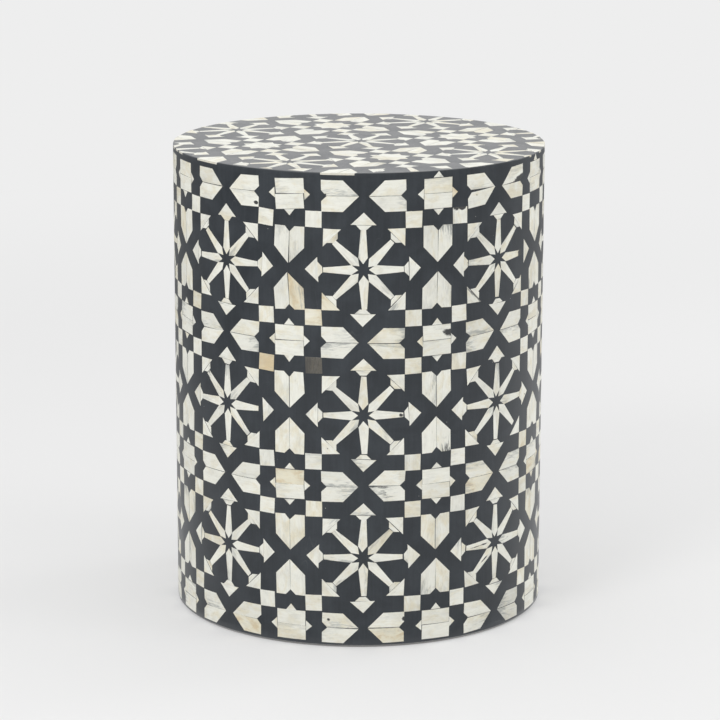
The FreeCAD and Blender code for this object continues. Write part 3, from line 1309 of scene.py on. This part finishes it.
@dataclass
class ResinGround:
    """The slate resin of the side and the top, with its softened rim and foot.

    Sizes are in metres. On the map, map_room is the width that the map shows of the top, in radii,
    and the top coat's underside is shrunk into a corner.
    """

    layout: DrumLayout
    bone_proud: float = 0.10 * MM
    foot_chamfer: float = 2.9 * MM
    foot_round: float = 0.9 * MM
    rim_round: float = 0.7 * MM
    inner_radius: float = 171.4 * MM
    side_rows: int = 24
    top_rings: tuple[float, ...] = (0.98, 0.8, 0.6, 0.4, 0.2)
    steps_round: int = 360
    smooth_deg: float = 30
    map_room: float = 2.14
    under_scale: float = 0.04
    under_shift: float = 0.46

    def arc(self, centre: Point, radius: float, degrees: Point, steps: int) -> Outline:
        """Points on an arc in the (radius, height) plane.

        Args:
            centre: the arc's centre.
            radius: the arc's radius.
            degrees: the angles at its start and end.
            steps: the number of steps.

        Returns:
            The points, with both ends.
        """
        start, end = degrees
        angles = [math.radians(start + (end - start) * i / steps) for i in range(steps + 1)]
        return [(centre[0] + radius * math.cos(a), centre[1] + radius * math.sin(a)) for a in angles]

    def build(self, material: bpy.types.Material) -> None:
        """Makes the side's and the top's coats.

        Args:
            material: the resin.
        """
        face, top = self.layout.radius - self.bone_proud, self.layout.height - self.bone_proud
        joint, foot, rim, rows = self.layout.top_joint, self.foot_round, self.rim_round, self.side_rows
        rise = self.foot_chamfer + foot * (math.sqrt(2) - 1)
        side = [(self.inner_radius, 0.0), *self.arc((face - rise, foot), foot, (-90, -45), 4),
                *self.arc((face - foot, rise), foot, (-45, 0), 4),
                *((face, rise + (joint - rise) * i / rows) for i in range(1, rows + 1)),
                (self.inner_radius, joint)]
        self.revolve("side_ground_coat", side, True, material, "side_ground")
        cap = [(face, joint), (face, top - rim),
               *self.arc((face - rim, top - rim), rim, (0, 90), 5)[1:],
               *(((face - rim) * share, top) for share in self.top_rings)]
        self.revolve("top_ground_coat", cap, False, material, "top_ground")

    def revolve(self, name: str, profile: Outline, ring: bool, material: bpy.types.Material,
                node: str) -> None:
        """Turns a profile round the drum's axis.

        Args:
            name: the piece's name.
            profile: its (radius, height) points, from the foot outwards and up.
            ring: whether the profile closes on itself, or is capped by discs at its two ends.
            material: the resin.
            node: the CAD node that the piece stands for.
        """
        bm = bmesh.new()
        layer = bm.loops.layers.uv.new("OFBake")
        count = self.steps_round
        turns = [math.tau * i / count for i in range(count)]
        rings = [[bm.verts.new((r * math.cos(a), r * math.sin(a), z)) for a in turns]
                 for r, z in profile]
        ways = [0.0]
        for p, q in edges_of(profile):
            ways.append(ways[-1] + math.dist(p, q))
        bands = len(rings) if ring else len(rings) - 1
        for low in range(bands):
            high = (low + 1) % len(rings)
            for i in range(count):
                j = (i + 1) % count
                face = bm.faces.new((rings[low][i], rings[low][j], rings[high][j], rings[high][i]))
                corners = ((i, low), (i + 1, low), (i + 1, low + 1), (i, low + 1))
                for loop, (turn, stop) in zip(face.loops, corners):
                    loop[layer].uv = (turn / count, ways[stop] / ways[-1]) if ring else \
                        self.disc_map(turn / count, profile[0][0] + ways[bands] - ways[stop])
        if not ring:
            self.cap(bm, layer, rings[-1], under=False)
            self.cap(bm, layer, rings[0], under=True)
        finish_piece(name, bm, material, self.smooth_deg, "dark_resin", node)

    def cap(self, bm: bmesh.types.BMesh, layer: bmesh.types.BMLayerItem,
            ring: list[bmesh.types.BMVert], under: bool) -> None:
        """Closes the top coat with a disc.

        Args:
            bm: its mesh.
            layer: the map's layer.
            ring: the disc's corners, anticlockwise from above.
            under: whether the disc is the underside.
        """
        face = bm.faces.new(list(reversed(ring)) if under else ring)
        shift = self.under_shift if under else 0.0
        for loop in face.loops:
            x, y = loop.vert.co.x, loop.vert.co.y
            reach = self.layout.radius * self.under_scale if under else math.hypot(x, y)
            u, v = self.disc_map(math.atan2(y, x) / math.tau, reach)
            loop[layer].uv = (u - shift, v - shift)

    def disc_map(self, turn: float, reach: float) -> Point:
        """The map's place for a point of the top.

        Args:
            turn: its angle as a share of a turn.
            reach: its way from the middle.

        Returns:
            The place on the map.
        """
        room = self.layout.radius * self.map_room
        angle = math.tau * turn
        return 0.5 + reach * math.cos(angle) / room, 0.5 + reach * math.sin(angle) / room


@dataclass
class ScrewRing:
    """Countersunk screws that hold the base board to its cleats, seen from underneath.

    A head's own turn is turn_share times its angle round the ring. The tapers are the sizes of
    the head's face and of the recess's floor, as shares of the rim and of the recess's mouth.
    """

    count: int = 8
    ring_radius: float = 148 * MM
    turn_share: float = 2.7
    head_radius: float = 3.9 * MM
    head_depth: float = 0.35 * MM
    head_taper: float = 0.94
    slot_reach: float = 2.3 * MM
    slot_width: float = 0.9 * MM
    slot_depth: float = 0.9 * MM
    slot_taper: float = 0.7
    steps: int = 28
    smooth_deg: float = 35

    def build(self, material: bpy.types.Material) -> None:
        """Makes the ring of screw heads on the underside of the base board.

        Args:
            material: the steel.
        """
        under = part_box("base_board")[0].z
        bm = bmesh.new()
        for i in range(self.count):
            angle = math.tau * (i + 0.5) / self.count
            where = Matrix.Translation((self.ring_radius * math.cos(angle),
                                        self.ring_radius * math.sin(angle), under))
            self.head(bm, where @ Matrix.Rotation(angle * self.turn_share, 4, "Z"))
        finish_piece("base_screws", bm, material, self.smooth_deg, "stave_wood")

    def head(self, bm: bmesh.types.BMesh, where: Matrix) -> None:
        """Adds one screw head, facing down, with a cross recess.

        Args:
            bm: the mesh of the ring.
            where: the head's place, with +Z into the board.
        """
        def ring(outline: Outline, share: float, height: float) -> list[bmesh.types.BMVert]:
            """An outline's corners, drawn in by a share, at a height."""
            return [bm.verts.new(where @ Vector((x * share, y * share, height))) for x, y in outline]

        arm, half, low = self.slot_reach, self.slot_width / 2, -self.head_depth
        notch = [(arm, -half), (arm, half), (half, half)]
        cross = [corner for i in range(4) for corner in turned(notch, QUARTER * i)]
        turns = [math.tau * i / self.steps for i in range(self.steps)]
        rim = [(self.head_radius * math.cos(a), self.head_radius * math.sin(a)) for a in turns]
        outer_up, outer_low = ring(rim, 1.0, 0.0), ring(rim, self.head_taper, low)
        cross_low = ring(cross, 1.0, low)
        cross_up = ring(cross, self.slot_taper, low + self.slot_depth)
        bridged(bm, outer_up, outer_low)
        bridged(bm, cross_low, cross_up)
        bm.faces.new(list(cross_up))
        bm.faces.new(outer_up)
        edges = [bm.edges.get(pair) for closed in (outer_low, cross_low) for pair in edges_of(closed)]
        bmesh.ops.triangle_fill(bm, use_beauty=True, edges=edges, normal=(0, 0, -1))
        bmesh.ops.recalc_face_normals(bm, faces=bm.faces)


def dress_carcass() -> None:
    """Gives the CAD's wooden pieces their wood."""
    staves = WoodFinish("stave_wood_grain", srgb(168, 132, 92), srgb(112, 80, 52), Cutting.UPRIGHT)
    boards = WoodFinish("board_wood_grain", srgb(150, 121, 88), srgb(100, 76, 53), Cutting.ALONG_X, 0.66)
    for finish, names in ((staves, ["wall_staves"]), (boards, ["top_board", "base_board"])):
        material = finish.material()
        for name in names:
            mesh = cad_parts[name].data
            mesh.materials.clear()
            mesh.materials.append(material)
            log.info("%s: dressed in %s", name, finish.name)


# The studio

@dataclass(frozen=True)
class PhotoCamera:
    """The camera that the photograph's outlines give, in metres and radians."""

    focal_pixels: float = 3146.9
    picture_pixels: float = 720.0
    distance: float = 2.9832
    height: float = 0.9361
    pitch: float = 0.230838
    yaw: float = 0.00045
    roll: float = 0.00139
    azimuth: float = -0.025413
    sensor_mm: float = 36.0
    sees_to: float = 60.0

    def build(self) -> None:
        """Makes the camera and sets it as the scene's."""
        data = bpy.data.cameras.new("photo_camera")
        data.sensor_width = self.sensor_mm
        data.lens = self.focal_pixels / self.picture_pixels * self.sensor_mm
        data.clip_end = self.sees_to
        ahead = Vector((math.sin(self.yaw) * math.cos(self.pitch),
                        math.cos(self.yaw) * math.cos(self.pitch), -math.sin(self.pitch)))
        level = ahead.cross(Vector((0, 0, 1))).normalized()
        upright = level.cross(ahead)
        right = level * math.cos(self.roll) + upright * math.sin(self.roll)
        up = upright * math.cos(self.roll) - level * math.sin(self.roll)
        axes = Matrix((right, up, -ahead)).transposed().to_4x4()
        swing = Matrix.Rotation(self.azimuth, 4, "Z")
        camera = placed_object("photo_camera", data)
        camera.matrix_world = swing @ Matrix.Translation((0, -self.distance, self.height)) @ axes
        bpy.context.scene.camera = camera


@dataclass(frozen=True)
class Lamp:
    """A softbox that faces the stool."""

    name: str
    place: Triple
    size: float
    power: float

    def build(self, target: Vector) -> None:
        """Makes the softbox.

        Args:
            target: the place that it is turned to.
        """
        data = bpy.data.lights.new(self.name, "AREA")
        data.shape = "DISK"
        data.size = self.size
        data.energy = self.power
        lamp = placed_object(self.name, data)
        lamp.location = self.place
        lamp.rotation_mode = "QUATERNION"
        lamp.rotation_quaternion = (target - Vector(self.place)).to_track_quat("-Z", "Y")


@dataclass(frozen=True)
class FarFade:
    """How the floor turns into something else by its distance, for one kind of ray.

    The distances are where it starts and ends, and the shares are how far it goes by then.
    """

    ray: str
    distances: Point
    shares: Point


@dataclass(frozen=True)
class Studio:
    """A pale floor that fades into a pale room, with softboxes to both sides of the camera."""

    floor_size: float = 24.0
    floor_colour: Triple = srgb(231, 231, 231)
    floor_roughness: float = 0.9
    floor_sheen: float = 0.1
    under_reach: float = 0.02
    # Seen by the camera, the floor glows with the backdrop's colour, a third of it near the stool, which
    # is painted light that lightens its shadows, and all of it far off
    to_backdrop: FarFade = FarFade("Is Camera Ray", (0.9, 2.3), (0.35, 1.0))
    # Seen in reflections, the floor is painted darker away from mirror_centre, a painted shade that
    # stands for the shadow behind the stool
    to_painted_shade: FarFade = FarFade("Is Glossy Ray", (1.2, 2.6), (0.0, 0.55))
    mirror_centre: Triple = (0.5, -1.0, 0.0)
    backdrop_colour: Triple = srgb(238, 238, 238)
    white: Triple = (1.0, 1.0, 1.0)
    room_light: float = 0.28
    upper_light: float = 0.87
    front_light: float = 0.02
    lower_light: float = 0.65
    mirrored_light: float = 1.15
    lamps_face: Triple = (0.0, 0.0, 0.25)
    lamps: tuple[Lamp, ...] = (
        Lamp("left_softbox", (-1.35, -1.85, 1.75), 1.0, 20.5),
        Lamp("right_softbox", (2.7, -1.0, 1.6), 1.2, 11.5),
        Lamp("edge_softbox", (2.1, 1.0, 1.0), 0.8, 9.0),
    )

    def build(self) -> None:
        """Makes the floor, the room and the lamps, and sets the view transform."""
        bpy.context.scene.view_settings.view_transform = "Standard"
        self.room()
        self.floor()
        for lamp in self.lamps:
            lamp.build(Vector(self.lamps_face))

    def room(self) -> None:
        """Lights the world evenly, and shows it as the backdrop's colour."""
        world = bpy.data.worlds.new("pale_room")
        world.use_nodes = True
        bpy.context.scene.world = world
        made = Shading(world.node_tree)
        made.tree.nodes.clear()
        rays = made.add("LightPath").outputs
        _, back, high = made.split(made.add("TexCoord").outputs["Generated"])
        even: Value = self.room_light
        for way, strength in ((high, self.upper_light), (made.times(back, -1.0), self.front_light),
                              (made.times(high, -1.0), self.lower_light)):
            even = made.plus(even, made.times(made.math("MAXIMUM", way, 0.0), strength))
        whole = made.result("Background", Color=self.white, Strength=even)
        mirrored = made.result("Background", Color=self.white, Strength=self.mirrored_light)
        seen = made.result("Background", Color=self.backdrop_colour)
        whole = made.blend(rays["Is Glossy Ray"], whole, mirrored)
        whole = made.blend(rays["Is Camera Ray"], whole, seen)
        made.put(whole, made.add("OutputWorld").inputs["Surface"])

    def floor(self) -> None:
        """Makes the floor, which lets the view and the light from underneath through."""
        made, shader, material = new_material("pale_floor")
        made.feed(shader, Base_Color=self.floor_colour, Roughness=self.floor_roughness,
                  Specular_IOR_Level=self.floor_sheen)
        place = made.add("TexCoord").outputs["Object"]
        aside = made.vector("SUBTRACT", place, self.mirror_centre)[0]
        rays = made.add("LightPath").outputs
        lit = shader.outputs[0]
        # Far from mirror_centre the floor is painted dark for glossy rays, a painted shade in what the
        # stool reflects
        for fade, spot, far in ((self.to_painted_shade, aside, made.result("Emission", Strength=0.0)),
                                # Near the stool a third of the floor seen by the camera is the
                                # backdrop's glowing colour, painted light over the floor's shadows
                                (self.to_backdrop, place,
                                 made.result("Emission", Color=self.backdrop_colour))):
            away = made.vector("LENGTH", spot)["Value"]
            share = made.times(made.ramp(away, *fade.distances, *fade.shares), rays[fade.ray])
            lit = made.blend(share, lit, far)
        near = made.math("LESS_THAN", rays["Ray Length"], self.under_reach)
        under = made.math("MAXIMUM", near, made.add("NewGeometry").outputs["Backfacing"])
        whole = made.blend(under, lit, made.result("BsdfTransparent"))
        made.put(whole, made.tree.nodes["Material Output"].inputs["Surface"])
        bm = bmesh.new()
        bmesh.ops.create_grid(bm, x_segments=1, y_segments=1, size=self.floor_size / 2)
        floor = placed_object("studio_floor", new_mesh("studio_floor", bm, material))


def marked_bone() -> BoneStock:
    """The slips that stand out in the photograph: stained, smudged, knotted or lost.

    Returns:
        The bone stock with those slips marked by node, then by column, or cell of the top, and by
        place in the motif. The columns run to the right from the front, so the last is at its left.
    """
    last = DrumLayout.columns - 1
    clean = BoneLook(0.1, 0.15, 0.99)
    plain = {
        "star_row_3_spokes": ((1, 7), (0, 0), (0, 1), (last, 2), (last, 6)),
        "star_row_3_arrow_heads": ((0, 3), (0, 6)),
        "star_row_2_spokes": ((0, 1),),
        "star_row_2_arrow_heads": ((1, 3), (1, 4)),
        "star_row_1_spokes": ((0, 2), (0, 7)),
        "star_row_1_arrow_heads": ((0, 0), (0, 4), (0, 5), (0, 7)),
        "star_row_1_upright_shields": ((last, 1), (last, 3)),
        "belt_4_cross_shields": ((last, 1),),
        "belt_4_corner_blocks": ((0, 1),),
        "belt_3_cross_shields": ((last, 1),),
        "belt_2_corner_blocks": ((0, 0),),
        "belt_1_cross_shields": ((1, 3),),
        "belt_1_corner_blocks": ((last, 0),),
    }
    marked = {
        "top_upright_shields": {(16, 1): BoneLook(0.15, 0.2), (16, 3): BoneLook(0.15, 0.2)},
        "belt_4_cross_shields": {
            (0, 3): BoneLook(0.1, 1.0, 0.97, knot=Knot(8 * MM, 5 * MM, 0.9 * MM)),
            (1, 0): BoneLook(0.15, 0.5, knot=Knot(5 * MM, -6 * MM, 13 * MM, 5, 0.2)),
            (1, 3): BoneLook(0.15, 0.5),
            (last, 2): BoneLook(0.1, 0.3, knot=Knot(9 * MM, -3.1 * MM, 1.7 * MM, 1.5)),
        },
        "belt_4_corner_blocks": {(0, 0): BoneLook(0.5, 0.3, 0.98)},
        "belt_4_corner_points": {(0, 0): BoneLook(0.85)},
        "star_row_3_spokes": {
            (0, 4): BoneLook(0.1),
            (1, 0): BoneLook(0.5, 0.3, knot=Knot(17 * MM, 0.0, 7 * MM)),
            (last, 4): BoneLook(0.2, 1.0, 0.97),
        },
        "star_row_3_arrow_heads": {
            (0, 5): BoneLook(0.6), (1, 3): BoneLook(0.2, 0.9, 0.97),
            (1, 5): BoneLook(0.2, 1.3, 0.88), (last, 0): BoneLook(0.05),
        },
        "star_row_3_squares": {
            (0, 2): BoneLook(0.62),
            (1, 1): BoneLook(0.2, 0.4, 0.99, knot=Knot(7.4 * MM, 0.0, 1.8 * MM, 0.35)),
            (last, 0): BoneLook(0.15),
        },
        "star_row_3_upright_shields": {
            (0, 2): BoneLook(0.2, 1.1, 0.97, 0.0), (last, 1): BoneLook(0.8, 0.7, 0.97),
        },
        "belt_3_cross_shields": {
            (0, 0): BoneLook(0.5, 1.0, 0.96, 0.0), (0, 1): BoneLook(0.0, 1.0, 0.95, -1.57),
            (0, 2): BoneLook(0.3, 0.8, 0.96), (1, 1): BoneLook(0.3, 0.95, 0.95, 0.0),
            (1, 2): BoneLook(0.2, 0.8, 0.97), (1, 3): BoneLook(0.3, 1.0, 0.88),
            (last, 2): BoneLook(0.05, 1.0, 0.93, 0.0), (last, 3): BoneLook(0.05, 0.8, 0.9),
        },
        "belt_3_corner_blocks": {
            (0, 0): BoneLook(0.1, 0.2, 0.98, knot=Knot(14.5 * MM, -1.2 * MM, 6.4 * MM, 2.1)),
        },
        "star_row_2_spokes": {
            (0, 0): BoneLook(0.2, 0.3, knot=Knot(14.8 * MM, -0.9 * MM, 2 * MM, 1.2)),
            (0, 2): BoneLook(0.4, 0.3, 0.94), (last, 3): BoneLook(0.1, 1.2, 0.93, 1.2),
        },
        "star_row_2_arrow_heads": {
            (0, 5): BoneLook(knot=Knot(0.0, 0.0, 0.7 * MM)), (0, 6): BoneLook(0.1, 1.0, 0.95, 3.14),
        },
        "star_row_2_squares": {(0, 1): BoneLook(0.6, 2.0, 0.95), (last, 0): BoneLook(0.95)},
        "star_row_2_upright_shields": {
            (0, 0): BoneLook(0.1, 0.9, 0.98, -1.57), (0, 1): BoneLook(0.1, 1.35, 0.98, 0.6),
        },
        "belt_2_cross_shields": {
            (0, 1): BoneLook(0.05, 0.9, 0.95, 3.14), (0, 2): BoneLook(0.0, 1.3, 0.96, 2.9),
            (0, 3): BoneLook(0.0, 1.0, 0.93), (1, 0): BoneLook(0.2, 0.9, 0.92),
            (1, 1): BoneLook(0.6, 0.7, 0.97, 0.3), (1, 2): BoneLook(0.2, 0.9, 0.92),
            (1, 3): BoneLook(0.3, 0.85, 0.96, -1.57),
        },
        "belt_2_corner_blocks": {(last, 0): BoneLook(0.72, 0.1, 0.98)},
        "belt_2_corner_points": {(last, 1): BoneLook(0.1, 0.2)},
        "star_row_1_spokes": {
            (0, 1): BoneLook(0.45, 0.6, 0.88), (0, 4): BoneLook(0.1, 0.8, 0.96),
            (0, 6): BoneLook(0.3, 0.7, 0.95),
            (1, 4): BoneLook(0.2, 0.3, 0.98, knot=Knot(2 * MM, 0.4 * MM, 12 * MM, 19, 0.08)),
            (1, 5): BoneLook(0.2, 0.3, 0.98, knot=Knot(-1 * MM, 0.3 * MM, 6 * MM, 9, -0.1)),
        },
        "star_row_1_arrow_heads": {(0, 2): BoneLook(0.15, 0.9, 0.93)},
        "star_row_1_squares": {(0, 1): BoneLook(0.45)},
        "belt_1_cross_shields": {
            (0, 0): BoneLook(0.15, 0.3, knot=Knot(12 * MM, 1.5 * MM, 2.4 * MM, 1.2)),
            (0, 2): BoneLook(0.6, 0.3, 0.98),
            (0, 3): BoneLook(0.3, 0.9, 0.97, knot=Knot(6 * MM, 0.0, 1.5 * MM)),
            (1, 0): BoneLook(0.05, 1.0, 0.78, 3.0), (1, 2): BoneLook(0.05, 1.0, 0.82, 3.14),
            (last, 2): BoneLook(0.62, 0.1, 0.98), (last, 3): BoneLook(0.1, 0.9, 0.94),
        },
        "belt_1_corner_blocks": {(last, 1): BoneLook(0.35, 0.4, 0.98)},
    }
    looks = {(node, *spot): clean for node, spots in plain.items() for spot in spots}
    looks |= {(node, *spot): look for node, spots in marked.items() for spot, look in spots.items()}
    missing = {("star_row_2_arrow_collars", last, 0), ("star_row_2_arrow_collars", 1, 7),
               ("star_row_3_arrow_collars", 1, 0), ("belt_4_corner_points", 1, 3),
               ("top_arrow_heads", 23, 6), ("top_spokes", 30, 2), ("top_spokes", 30, 4)}
    astray = {("belt_4_cross_shields", 1, 0): (0.2 * MM, 0.7 * MM, math.radians(2.4)),
              ("belt_4_cross_shields", 1, 1): (0.2 * MM, -1.3 * MM, math.radians(4.6)),
              ("belt_4_cross_shields", 1, 3): (-0.8 * MM, 0.1 * MM, math.radians(-1.0))}
    short = {("top_spokes", 30, 3): 3.2 * MM, ("top_cross_shields", 30, 0): 1.5 * MM,
             ("top_cross_shields", 30, 2): 1.5 * MM}
    return BoneStock(looks, missing, astray, short)


def main() -> None:
    """Builds the stool's pieces in order, then the studio round them."""
    logging.basicConfig(level=logging.INFO, format="%(name)s: %(message)s")
    layout = DrumLayout.from_frame()
    layer = SlipLayer(marked_bone())
    bone, resin = BoneFinish().material(), ResinFinish().material()
    SideInlay(layout, layer).build(bone)
    TopInlay(layout, layer).build(bone)
    ResinGround(layout).build(resin)
    dress_carcass()
    ScrewRing().build(SteelFinish().material())
    Studio().build()
    PhotoCamera().build()


if __name__ == "__main__":
    main()
